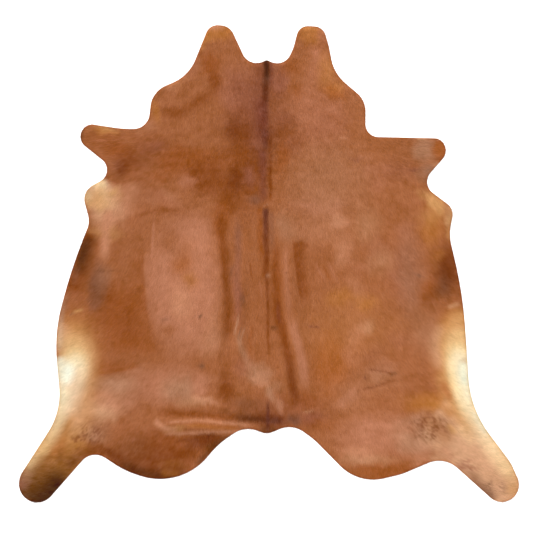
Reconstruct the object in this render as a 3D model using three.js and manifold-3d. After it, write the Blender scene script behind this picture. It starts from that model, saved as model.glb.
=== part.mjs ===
// A cowhide rug: one whole tanned hide with its hair on, lying hair side up on the floor.
// Millimetres, +Z up. The neck points along +Y, the tail along -Y, and the origin is under the middle
// of the hide, on the floor. The hide is one cut sheet, flat but for a few soft rolls left by folding.

import * as THREE from "three";
import { mergeVertices } from "three/addons/utils/BufferGeometryUtils.js";
import Module from "manifold-3d";

// ---- driving dimensions ----

const LEATHER = 2.5; // the tanned skin
const COAT = 2; // its short hair, lying flat
const THICKNESS = LEATHER + COAT;

const LONGEST_STEP = 16; // along the cut edge
const WIDEST_TURN = THREE.MathUtils.degToRad(15); // along the cut edge
const ROLL_SAMPLES = 40; // points along a roll's crest where distances are taken
const HEADROOM = 60; // how far the cutting outline reaches above and below the sheet

const HIDE_COLOUR = 0xa8653c;
const HIDE_ROUGHNESS = 0.62;

// The cut edge is a belt that runs clockwise round these discs, from the nape and back to it. It goes
// outside a disc that bends "out", a lobe, and inside one that bends "in", a hollow.
const CUT_EDGE = [
  { name: "nape point", x: -10, y: 867, radius: 10, bends: "out" },
  // right side
  { name: "nape hollow", x: 35, y: 926, radius: 62, bends: "in" },
  { name: "poll", x: -51, y: 985, radius: 165, bends: "in" },
  { name: "ear, inner corner", x: 166, y: 977, radius: 47, bends: "out" },
  { name: "ear, outer corner", x: 193, y: 970, radius: 53, bends: "out" },
  { name: "jaw", x: 38, y: 886, radius: 225, bends: "out" },
  { name: "neck hollow", x: 455, y: 923, radius: 192, bends: "in" },
  { name: "shoulder", x: 318, y: 660, radius: 97, bends: "out" },
  { name: "shoulder corner", x: 472, y: 603, radius: 57, bends: "in" },
  { name: "fore foot", x: 708, y: 488, radius: 53, bends: "out" },
  { name: "armpit", x: 741, y: 354, radius: 60, bends: "in" },
  { name: "elbow", x: 730, y: 212, radius: 60, bends: "out" },
  { name: "girth", x: 982, y: 129, radius: 203, bends: "in" },
  { name: "flank", x: -1016, y: -408, radius: 1865, bends: "out" },
  { name: "stifle", x: 1316, y: -458, radius: 459, bends: "in" },
  { name: "shank", x: 867, y: -958, radius: 200, bends: "out" },
  { name: "hind foot", x: 1002, y: -951, radius: 74, bends: "out" },
  { name: "crotch", x: 731, y: -967, radius: 119, bends: "in" },
  { name: "thigh", x: 500, y: -690, radius: 226, bends: "out" },
  { name: "rump", x: 449, y: -728, radius: 201, bends: "out" },
  { name: "buttock", x: -35, y: -1022, radius: 350, bends: "in" },
  { name: "tail hollow", x: 86, y: -810, radius: 107, bends: "in" },
  { name: "tail point", x: -10, y: -667, radius: 62, bends: "out" },
  // left side
  { name: "tail hollow", x: -90, y: -823, radius: 112, bends: "in" },
  { name: "buttock", x: 30, y: -1050, radius: 367, bends: "in" },
  { name: "rump", x: -470, y: -659, radius: 267, bends: "out" },
  { name: "thigh", x: -447, y: -531, radius: 396, bends: "out" },
  { name: "crotch", x: -748, y: -898, radius: 76, bends: "in" },
  { name: "hind foot, inner corner", x: -998, y: -948, radius: 79, bends: "out" },
  { name: "hind foot, outer corner", x: -995, y: -942, radius: 81, bends: "out" },
  { name: "stifle", x: -1214, y: -557, radius: 312, bends: "in" },
  { name: "rear flank", x: -217, y: -358, radius: 699, bends: "out" },
  { name: "flank", x: 1302, y: -725, radius: 2261, bends: "out" },
  { name: "girth", x: -872, y: 186, radius: 96, bends: "in" },
  { name: "elbow", x: -725, y: 277, radius: 70, bends: "out" },
  { name: "armpit", x: -754, y: 405, radius: 56, bends: "in" },
  { name: "fore foot", x: -760, y: 548, radius: 52, bends: "out" },
  { name: "foreleg", x: -590, y: 1132, radius: 551, bends: "in" },
  { name: "shoulder corner", x: -584, y: 651, radius: 70, bends: "in" },
  { name: "shoulder", x: -402, y: 667, radius: 109, bends: "out" },
  { name: "neck hollow", x: -490, y: 951, radius: 187, bends: "in" },
  { name: "ear, outer corner", x: -222, y: 976, radius: 52, bends: "out" },
  { name: "ear, inner corner", x: -209, y: 966, radius: 61, bends: "out" },
  { name: "nape hollow", x: -53, y: 931, radius: 66, bends: "in" },
];

// Soft rolls that still stand in the hide. Each crest starts at one end, passes a middle point and
// stops at the other. To its left, looking along it, the roll fades out over "left", to its right
// over "right", and at both ends over the share "fade" of its length.
const ROLLS = [
  {
    name: "left loin",
    from: [-235, 175], middle: [-208, -110], to: [-222, -420],
    height: 13, left: 62, right: 215, fade: 0.3,
  },
  {
    name: "left of the spine",
    from: [-108, 130], middle: [-126, -180], to: [-140, -560],
    height: 6, left: 46, right: 46, fade: 0.35,
  },
  {
    name: "right loin",
    from: [70, 130], middle: [88, -215], to: [160, -560],
    height: 10, left: 90, right: 48, fade: 0.3,
  },
  {
    name: "right haunch",
    from: [450, -215], middle: [395, -385], to: [325, -620],
    height: 5, left: 95, right: 80, fade: 0.4,
  },
  {
    name: "left rump",
    from: [-520, -680], middle: [-300, -692], to: [-75, -678],
    height: 12, left: 48, right: 48, fade: 0.35,
  },
];

// Where the sheet's grid lines run, close together across the rolls and wide apart on the flat.
const COLUMNS = { end: 1100, runs: [
  { from: -1100, pitch: 80 },
  { from: -460, pitch: 40 },
  { from: -300, pitch: 24 },
  { from: 204, pitch: 50 },
  { from: 504, pitch: 80 },
] };
const ROWS = { end: 1050, runs: [
  { from: -1050, pitch: 80 },
  { from: -750, pitch: 19 },
  { from: -617, pitch: 70 },
  { from: 223, pitch: 90 },
] };

// ---- the cut edge ----

// The straight runs of the belt: the heading, in radians, on which it leaves each disc for the next.
// A disc that bends in counts with a negative radius.
function headings(discs) {
  return discs.map((disc, i) => {
    const next = discs[(i + 1) % discs.length];
    const across = next.x - disc.x;
    const along = next.y - disc.y;
    const lean = (signed(disc) - signed(next)) / Math.hypot(across, along);
    return Math.atan2(along, across) - Math.asin(lean);
  });
}

function signed(disc) {
  return disc.bends === "out" ? disc.radius : -disc.radius;
}

// Points along the belt: each disc's arc, from the heading it is reached on to the one it is left on.
function edgePoints(discs) {
  const leaves = headings(discs);
  return discs.flatMap((disc, i) => {
    const reached = leaves[(i + leaves.length - 1) % leaves.length];
    const turn = Math.atan2(Math.sin(leaves[i] - reached), Math.cos(leaves[i] - reached));
    const byLength = Math.abs(turn * disc.radius) / LONGEST_STEP;
    const steps = Math.max(1, Math.ceil(Math.max(byLength, Math.abs(turn) / WIDEST_TURN)));
    return Array.from({ length: steps + 1 }, (_, k) => {
      const heading = reached + (turn * k) / steps;
      return new THREE.Vector2(
        disc.x - signed(disc) * Math.sin(heading),
        disc.y + signed(disc) * Math.cos(heading),
      );
    });
  });
}

// A straight-sided block with the hide's outline, tall enough to cut the sheet out all through.
function cutter(discs) {
  const depth = THICKNESS + 2 * HEADROOM;
  const block = new THREE.ExtrudeGeometry(new THREE.Shape(edgePoints(discs)), {
    depth,
    bevelEnabled: false,
  });
  return block.translate(0, 0, -HEADROOM);
}

// ---- the sheet and its rolls ----

// A crest is one quadratic curve that passes its middle point halfway.
function crestOf(roll) {
  const [from, middle, to] = [roll.from, roll.middle, roll.to].map((p) => new THREE.Vector2(...p));
  const pull = middle.clone().multiplyScalar(2).sub(from.clone().add(to).multiplyScalar(0.5));
  return new THREE.QuadraticBezierCurve(from, pull, to).getPoints(ROLL_SAMPLES);
}

const crests = new Map(ROLLS.map((roll) => [roll, crestOf(roll)]));

// A smooth bell: 1 at the middle and exactly 0 from the given reach outwards.
function bell(distance, reach) {
  return distance >= reach ? 0 : 0.5 + 0.5 * Math.cos((Math.PI * distance) / reach);
}

// How far one roll lifts the hide off the floor at a point.
function liftOfRoll(roll, x, y) {
  const crest = crests.get(roll);
  const here = new THREE.Vector2(x, y);
  const gaps = crest.map((p) => p.distanceTo(here));
  const nearest = gaps.indexOf(Math.min(...gaps));
  const before = crest[Math.max(0, nearest - 1)];
  const after = crest[Math.min(ROLL_SAMPLES, nearest + 1)];
  const along = after.clone().sub(before);
  const side = along.cross(here.clone().sub(before));
  const toEnd = Math.min(nearest, ROLL_SAMPLES - nearest) / ROLL_SAMPLES;
  const ends = 1 - bell(Math.min(toEnd, roll.fade), roll.fade);
  return roll.height * ends * bell(gaps[nearest], side > 0 ? roll.left : roll.right);
}

function lift(x, y) {
  return ROLLS.reduce((sum, roll) => sum + liftOfRoll(roll, x, y), 0);
}

function gridLines({ runs, end }) {
  return runs.flatMap(({ from, pitch }, i) => {
    const stop = i + 1 < runs.length ? runs[i + 1].from : end;
    const count = Math.round((stop - from) / pitch);
    return Array.from({ length: count }, (_, k) => from + (k * (stop - from)) / count);
  }).concat(end);
}

// A box with many segments, its columns and rows moved to the grid lines and lifted along the rolls.
function sheet() {
  const columns = gridLines(COLUMNS);
  const rows = gridLines(ROWS);
  const box = new THREE.BoxGeometry(1, 1, 1, columns.length - 1, rows.length - 1, 1);
  const place = box.getAttribute("position");
  for (let i = 0; i < place.count; i++) {
    const x = columns[Math.round((place.getX(i) + 0.5) * (columns.length - 1))];
    const y = rows[Math.round((place.getY(i) + 0.5) * (rows.length - 1))];
    const isTop = place.getZ(i) > 0;
    place.setXYZ(i, x, y, lift(x, y) + (isTop ? THICKNESS : 0));
  }
  return box;
}

// ---- joining and cutting ----

const manifold = await Module();
manifold.setup();

function toSolid(geometry) {
  geometry.deleteAttribute("normal");
  geometry.deleteAttribute("uv");
  const merged = mergeVertices(geometry);
  return new manifold.Manifold(
    new manifold.Mesh({
      numProp: 3,
      vertProperties: merged.getAttribute("position").array,
      triVerts: new Uint32Array(merged.getIndex().array),
    }),
  );
}

function toGeometry(solid) {
  const { vertProperties, triVerts } = solid.getMesh();
  const geometry = new THREE.BufferGeometry();
  geometry.setAttribute("position", new THREE.BufferAttribute(vertProperties, 3));
  geometry.setIndex(new THREE.BufferAttribute(triVerts, 1));
  geometry.computeVertexNormals();
  return geometry;
}

// ---- the rug ----

const hideGeometry = toGeometry(toSolid(sheet()).intersect(toSolid(cutter(CUT_EDGE))));
hideGeometry.computeBoundingBox();
const middle = hideGeometry.boundingBox.getCenter(new THREE.Vector3());
hideGeometry.translate(-middle.x, -middle.y, 0);

const hide = new THREE.Mesh(
  hideGeometry,
  new THREE.MeshStandardMaterial({
    color: HIDE_COLOUR,
    roughness: HIDE_ROUGHNESS,
    metalness: 0,
  }),
);
hide.name = "hide";

const rug = new THREE.Group();
rug.add(hide);

export default rug;
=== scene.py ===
import math

import bpy
import numpy as np
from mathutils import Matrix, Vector
from mathutils.geometry import delaunay_2d_cdt
from mathutils.kdtree import KDTree


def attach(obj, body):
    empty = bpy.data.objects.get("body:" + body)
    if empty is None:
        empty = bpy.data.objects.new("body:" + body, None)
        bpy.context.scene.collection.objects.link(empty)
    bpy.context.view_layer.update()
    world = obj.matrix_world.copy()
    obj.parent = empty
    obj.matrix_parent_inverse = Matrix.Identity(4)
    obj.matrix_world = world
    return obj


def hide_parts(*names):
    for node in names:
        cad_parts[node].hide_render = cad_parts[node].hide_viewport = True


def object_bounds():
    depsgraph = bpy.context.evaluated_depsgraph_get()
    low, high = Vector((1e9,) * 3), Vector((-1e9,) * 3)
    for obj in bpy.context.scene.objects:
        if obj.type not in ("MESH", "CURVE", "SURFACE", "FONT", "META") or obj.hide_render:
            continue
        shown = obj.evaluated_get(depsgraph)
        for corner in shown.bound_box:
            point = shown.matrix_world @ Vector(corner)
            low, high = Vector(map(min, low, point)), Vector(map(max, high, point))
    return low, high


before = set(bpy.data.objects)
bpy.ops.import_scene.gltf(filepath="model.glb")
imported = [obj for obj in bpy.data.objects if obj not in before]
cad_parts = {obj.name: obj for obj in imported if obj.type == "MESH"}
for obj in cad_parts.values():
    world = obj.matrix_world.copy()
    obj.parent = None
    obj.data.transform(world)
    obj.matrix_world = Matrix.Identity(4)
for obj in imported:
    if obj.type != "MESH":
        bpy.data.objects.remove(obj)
cad_low, cad_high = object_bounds()

# A whole cowhide rug, hair side up. The scene is in metres; the hide's own tables are in millimetres, seen
# from above with the neck away from the viewer: +X is the right flank, +Y the neck and +Z up off the floor.
MM = 0.001

# ----------------------------------------------------------------------
# The room: a plain pale floor, a soft lamp high on the left and an even pale light all round. None of
# it is part of the rug.

FLOOR_SIZE = 60.0
FLOOR_PAINT = (0.93, 0.93, 0.93, 1)
LAMP_POWER = 4.4
LAMP_SOFTNESS = math.radians(38)  # across, seen from the rug
LAMP_ELEVATION = math.radians(42)
LAMP_FROM = math.radians(118)  # counted anticlockwise from +X
SKY_OVERHEAD = 0.74
SKY_LOW = 1.75
SKY_CALM = 0.75  # the height where the sky has calmed down, 0 at the horizon and 1 overhead


def dial_in(node, settings):
    """Sets the node's inputs, by name."""
    for name, value in settings.items():
        node.inputs[name].default_value = value


def finish(name, roughness, specular):
    """A new material of that roughness and specular level, and its shader."""
    material = bpy.data.materials.new(name)
    material.use_nodes = True
    shader = material.node_tree.nodes["Principled BSDF"]
    dial_in(shader, {"Roughness": roughness, "Specular IOR Level": specular})
    return material, shader


bpy.ops.object.select_all(action="DESELECT")
bpy.ops.mesh.primitive_grid_add(x_subdivisions=4, y_subdivisions=4, size=FLOOR_SIZE, location=(0, 0, 0))
floor = bpy.context.object
floor.name = "floor"
floor_paint, shader = finish("matt floor paint", roughness=0.9, specular=0)
dial_in(shader, {"Base Color": FLOOR_PAINT})
floor.data.materials.append(floor_paint)

lamp_data = bpy.data.lights.new("studio lamp", "SUN")
lamp_data.energy = LAMP_POWER
lamp_data.angle = LAMP_SOFTNESS
lamp = bpy.data.objects.new("studio lamp", lamp_data)
bpy.context.collection.objects.link(lamp)
towards_lamp = Vector((
    math.cos(LAMP_FROM) * math.cos(LAMP_ELEVATION),
    math.sin(LAMP_FROM) * math.cos(LAMP_ELEVATION),
    math.sin(LAMP_ELEVATION),
))
lamp.rotation_euler = towards_lamp.to_track_quat("Z", "Y").to_euler()

# The sky is bright near the horizon and calmer overhead, so that the coat doesn't turn milky.
sky = bpy.data.worlds.new("studio sky")
sky.use_nodes = True
bpy.context.scene.world = sky
sky_nodes = sky.node_tree.nodes
sky_links = sky.node_tree.links
sky_direction = sky_nodes.new("ShaderNodeTexCoord")
sky_height = sky_nodes.new("ShaderNodeSeparateXYZ")
sky_links.new(sky_direction.outputs["Generated"], sky_height.inputs[0])
sky_fade = sky_nodes.new("ShaderNodeMapRange")
dial_in(sky_fade, {"From Min": 0, "From Max": SKY_CALM, "To Min": SKY_LOW, "To Max": SKY_OVERHEAD})
sky_links.new(sky_height.outputs["Z"], sky_fade.inputs["Value"])
sky_links.new(sky_fade.outputs["Result"], sky_nodes["Background"].inputs["Strength"])
dial_in(sky_nodes["Background"], {"Color": (1, 1, 1, 1)})

scene = bpy.context.scene
scene.view_settings.view_transform = "Standard"

# ----------------------------------------------------------------------
# The camera: straight above the rug on a long lens, as for a sale sheet.

VIEW_WIDTH = 2296 * MM  # what the frame takes in, on the floor
VIEW_MIDDLE = (-10.3 * MM, -12.0 * MM)
VIEW_HEIGHT = 7.0
SENSOR = 36.0

camera_data = bpy.data.cameras.new("camera")
camera_data.sensor_width = SENSOR
camera_data.lens = SENSOR * VIEW_HEIGHT / VIEW_WIDTH
camera = bpy.data.objects.new("camera", camera_data)
bpy.context.collection.objects.link(camera)
camera.location = (*VIEW_MIDDLE, VIEW_HEIGHT)
scene.camera = camera

# ----------------------------------------------------------------------
# The hide: one whole tanned skin, 2.5 mm of leather with hair roots above and suede below, trimmed with
# one clean cut all round. It lies loose on the floor, on a few soft rolls that still stand in it.

LEATHER = 2.5
EDGE_STEP = 5.0
EDGE_TURN = math.radians(6)

# The cut runs clockwise from the nape, like a belt round discs: outside the disc of a lobe ("out") and
# inside the disc of a hollow ("in"). Each row is a name, the disc's middle, its radius and its side. Most of
# the middles and radii are those of circles fitted by a program to the measured outline.
CUT_EDGE = [
    ("nape point", -10, 867, 10, "out"),
    # right side
    ("nape hollow", 35, 926, 62, "in"),
    ("poll", -51, 985, 165, "in"),
    ("ear, inner corner", 166, 977, 47, "out"),
    ("ear, outer corner", 193, 970, 53, "out"),
    ("jaw", 38, 886, 225, "out"),
    ("neck hollow", 455, 923, 192, "in"),
    ("shoulder", 318, 660, 97, "out"),
    ("shoulder corner", 472, 603, 57, "in"),
    ("fore foot", 708, 488, 53, "out"),
    ("armpit", 741, 354, 60, "in"),
    ("elbow", 730, 212, 60, "out"),
    ("girth", 982, 129, 203, "in"),
    ("flank", -1016, -408, 1865, "out"),
    ("stifle", 1316, -458, 459, "in"),
    ("shank", 867, -958, 200, "out"),
    ("hind foot", 1002, -951, 74, "out"),
    ("crotch", 731, -967, 119, "in"),
    ("thigh", 500, -690, 226, "out"),
    ("rump", 449, -728, 201, "out"),
    ("buttock", -35, -1022, 350, "in"),
    ("tail hollow", 86, -810, 107, "in"),
    ("tail point", -10, -667, 62, "out"),
    # left side
    ("tail hollow", -90, -823, 112, "in"),
    ("buttock", 30, -1050, 367, "in"),
    ("rump", -470, -659, 267, "out"),
    ("thigh", -447, -531, 396, "out"),
    ("crotch", -748, -898, 76, "in"),
    ("hind foot, inner corner", -998, -948, 79, "out"),
    ("hind foot, outer corner", -995, -942, 81, "out"),
    ("stifle", -1214, -557, 312, "in"),
    ("rear flank", -217, -358, 699, "out"),
    ("flank", 1302, -725, 2261, "out"),
    ("girth", -872, 186, 96, "in"),
    ("elbow", -725, 277, 70, "out"),
    ("armpit", -754, 405, 56, "in"),
    ("fore foot", -760, 548, 52, "out"),
    ("foreleg", -590, 1132, 551, "in"),
    ("shoulder corner", -584, 651, 70, "in"),
    ("shoulder", -402, 667, 109, "out"),
    ("neck hollow", -490, 951, 187, "in"),
    ("ear, outer corner", -222, 976, 52, "out"),
    ("ear, inner corner", -209, 966, 61, "out"),
    ("nape hollow", -53, 931, 66, "in"),
]

# Each crest starts at one end, passes a middle point and stops at the other. To its left, looking along it,
# it fades out over "left", to its right over "right", and at both ends over the share "fade" of its length.
ROLLS = [
    # name, from, middle, to, height, left, right, fade
    ("left loin", (-235, 175), (-208, -110), (-222, -420), 10, 72, 215, 0.3),
    ("left of the spine", (-108, 130), (-126, -180), (-140, -560), 6, 46, 46, 0.35),
    ("right loin", (70, 130), (88, -215), (160, -560), 10, 90, 48, 0.3),
    ("right haunch", (450, -215), (395, -385), (325, -620), 5, 95, 80, 0.4),
    ("left rump", (-520, -680), (-300, -692), (-75, -678), 8, 50, 50, 0.35),
]
ROLL_PIECES = 24


def bend(disc):
    """The cut's own radius round a disc: above 0 round a lobe, below 0 round a hollow."""
    return disc[3] if disc[4] == "out" else -disc[3]


def heading_between(disc, after):
    """The way the cut runs, in radians, on the straight from one disc to the next."""
    across = after[1] - disc[1]
    along = after[2] - disc[2]
    lean = (bend(disc) - bend(after)) / math.hypot(across, along)
    return math.atan2(along, across) - math.asin(lean)


def cut_edge_points():
    """Points along the cut, clockwise, with the outward direction at each."""
    leaves = [heading_between(*pair) for pair in zip(CUT_EDGE, CUT_EDGE[1:] + CUT_EDGE[:1])]
    places = []
    for i, disc in enumerate(CUT_EDGE):
        _, x, y, radius, _ = disc
        reached = leaves[i - 1]
        turn = math.remainder(leaves[i] - reached, 2 * math.pi)
        steps = max(1, math.ceil(abs(turn * radius) / EDGE_STEP), math.ceil(abs(turn) / EDGE_TURN))
        for k in range(steps + 1):
            heading = reached + turn * k / steps
            out = (-math.sin(heading), math.cos(heading))
            places.append((x + bend(disc) * out[0], y + bend(disc) * out[1], *out))
    return np.array(places)


def evened(places, step):
    """The same closed line with its points a near-equal step apart."""
    closed = np.vstack([places, places[:1]])
    gaps = np.hypot(*np.diff(closed[:, :2], axis=0).T)
    run = np.concatenate([[0], np.cumsum(gaps)])
    count = int(run[-1] / step)
    at = np.arange(count) * run[-1] / count
    even = np.stack([np.interp(at, run, closed[:, k]) for k in range(4)], 1)
    even[:, 2:] /= np.hypot(even[:, 2], even[:, 3])[:, None]
    return even


def bell(distance, reach):
    """1 on the crest and exactly 0 from the given reach outwards."""
    return 0.5 + 0.5 * np.cos(np.pi * np.clip(distance / reach, 0, 1))


def curve_through(start, middle, end, pieces):
    """A smooth curve from start to end through a middle point halfway, in so many straight pieces."""
    start, middle, end = (np.array(p, float) for p in (start, middle, end))
    pull = 2 * middle - (start + end) / 2
    t = np.linspace(0, 1, pieces + 1)[:, None]
    return (1 - t) ** 2 * start + 2 * t * (1 - t) * pull + t**2 * end


def near_curve(x, y, curve, reach):
    """Which points lie in the curve's own box, widened by the reach."""
    low = curve.min(0) - reach
    high = curve.max(0) + reach
    return (x > low[0]) & (x < high[0]) & (y > low[1]) & (y < high[1])


def along_curve(x, y, curve):
    """How far each point is from the curve, on which side (+1 left), and its share of the way along."""
    best = np.full(x.shape, np.inf)
    side = np.zeros(x.shape)
    share = np.zeros(x.shape)
    pieces = len(curve) - 1
    for k in range(pieces):
        (ax, ay), (bx, by) = curve[k], curve[k + 1]
        dx, dy = bx - ax, by - ay
        t = np.clip(((x - ax) * dx + (y - ay) * dy) / (dx * dx + dy * dy), 0, 1)
        gap = np.hypot(x - ax - t * dx, y - ay - t * dy)
        nearer = gap < best
        best = np.where(nearer, gap, best)
        side = np.where(nearer, np.sign(dx * (y - ay) - dy * (x - ax)), side)
        share = np.where(nearer, (k + t) / pieces, share)
    return best, side, share


def lift(x, y):
    """How far the rolls and creases lift the hide off the floor."""
    total = np.zeros(x.shape)
    for _, start, middle, end, height, left, right, fade in ROLLS:
        curve = curve_through(start, middle, end, ROLL_PIECES)
        near = near_curve(x, y, curve, max(left, right))
        gap, side, share = along_curve(x[near], y[near], curve)
        ends = 1 - bell(np.minimum(share, 1 - share), fade)
        total[near] += height * ends * bell(gap, np.where(side > 0, left, right))
    return total


edge = evened(cut_edge_points(), EDGE_STEP)
edge_low = edge[:, :2].min(0)
edge_high = edge[:, :2].max(0)
cad_middle = np.array([cad_low.x + cad_high.x, cad_low.y + cad_high.y]) / 2 / MM
home = cad_middle - (edge_high + edge_low) / 2  # moves the tables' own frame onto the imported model's

edge_tree = KDTree(len(edge))
for number, (edge_x, edge_y) in enumerate(edge[:, :2]):
    edge_tree.insert((edge_x, edge_y, 0), number)
edge_tree.balance()


def depth_inside(x, y):
    """How far each point lies inside the cut edge, less than 0 outside, and the outward direction there."""
    nearest = np.array([edge_tree.find((px, py, 0))[1] for px, py in zip(x.tolist(), y.tolist())])
    out = edge[nearest, 2:]
    off = (x - edge[nearest, 0]) * out[:, 0] + (y - edge[nearest, 1]) * out[:, 1]
    return -off, out


def hexagon_grid(pitch, low, high):
    """The x and y of rows of points over a rectangle, each second row shifted by half a pitch."""
    row_gap = pitch * math.sqrt(3) / 2
    rows = np.arange(low[1], high[1] + row_gap, row_gap)
    columns = np.arange(low[0], high[0] + pitch, pitch)
    x, y = np.meshgrid(columns, rows)
    x = x + (np.arange(len(rows)) % 2 * pitch / 2)[:, None]
    return x.ravel(), y.ravel()


# Seeded noise, for the coat's colour, its lie and the sway of the skin.
LATTICE = 256
LATTICE_START = (128.37, 128.71)  # keeps the hide inside the lattice and off its lines


def eased(t):
    """0 below 0, 1 above 1 and a smooth rise between."""
    t = np.clip(t, 0, 1)
    return t * t * (3 - 2 * t)


def mottle(x, y, size, seed):
    """Soft noise from -1 to 1 with blots about size mm across."""
    lattice = np.random.default_rng(seed).uniform(-1, 1, (LATTICE, LATTICE))
    u = x / size + LATTICE_START[0]
    v = y / size + LATTICE_START[1]
    i = np.floor(u).astype(int)
    j = np.floor(v).astype(int)
    f = eased(u - i)
    g = eased(v - j)
    left, right = i % LATTICE, (i + 1) % LATTICE
    near, far = j % LATTICE, (j + 1) % LATTICE
    near_row = lattice[left, near] * (1 - f) + lattice[right, near] * f
    far_row = lattice[left, far] * (1 - f) + lattice[right, far] * f
    return near_row * (1 - g) + far_row * g


def layered(x, y, layers):
    """Noise added up from layers, each with its own strength, blot size and seed."""
    return sum(strength * mottle(x, y, size, seed) for strength, size, seed in layers)


# The coat's tones on a 0 to 255 scale: golden hair, then rosy hair, whose paler tones also paint the sheen
# of the nap, then worn grey hair.
TONES = {
    "ivory": (254, 246, 220),
    "bone": (240, 232, 203),
    "cream": (252, 225, 182),
    "butter": (247, 210, 155),
    "wheat": (234, 184, 126),
    "honey": (214, 154, 97),
    "amber": (196, 126, 67),
    "ochre": (181, 110, 55),
    "orange": (173, 97, 49),
    "russet": (157, 84, 39),
    "brown": (144, 75, 33),
    "chestnut": (125, 62, 28),
    "umber": (101, 54, 23),
    "bistre": (74, 40, 15),
    "shell": (238, 196, 158),
    "peach": (246, 200, 148),
    "biscuit": (216, 160, 120),
    "rose": (202, 135, 99),
    "blush": (191, 123, 90),
    "copper": (180, 111, 77),
    "rosewood": (172, 104, 73),
    "caramel": (167, 99, 60),
    "mauve": (159, 94, 68),
    "plum": (147, 84, 59),
    "wine": (124, 64, 46),
    "liver": (100, 50, 37),
    "fawn": (185, 129, 96),
    "taupe": (147, 93, 68),
    "dun": (161, 115, 88),
    "slate": (124, 80, 58),
}
BASE_TONE = "caramel"
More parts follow.
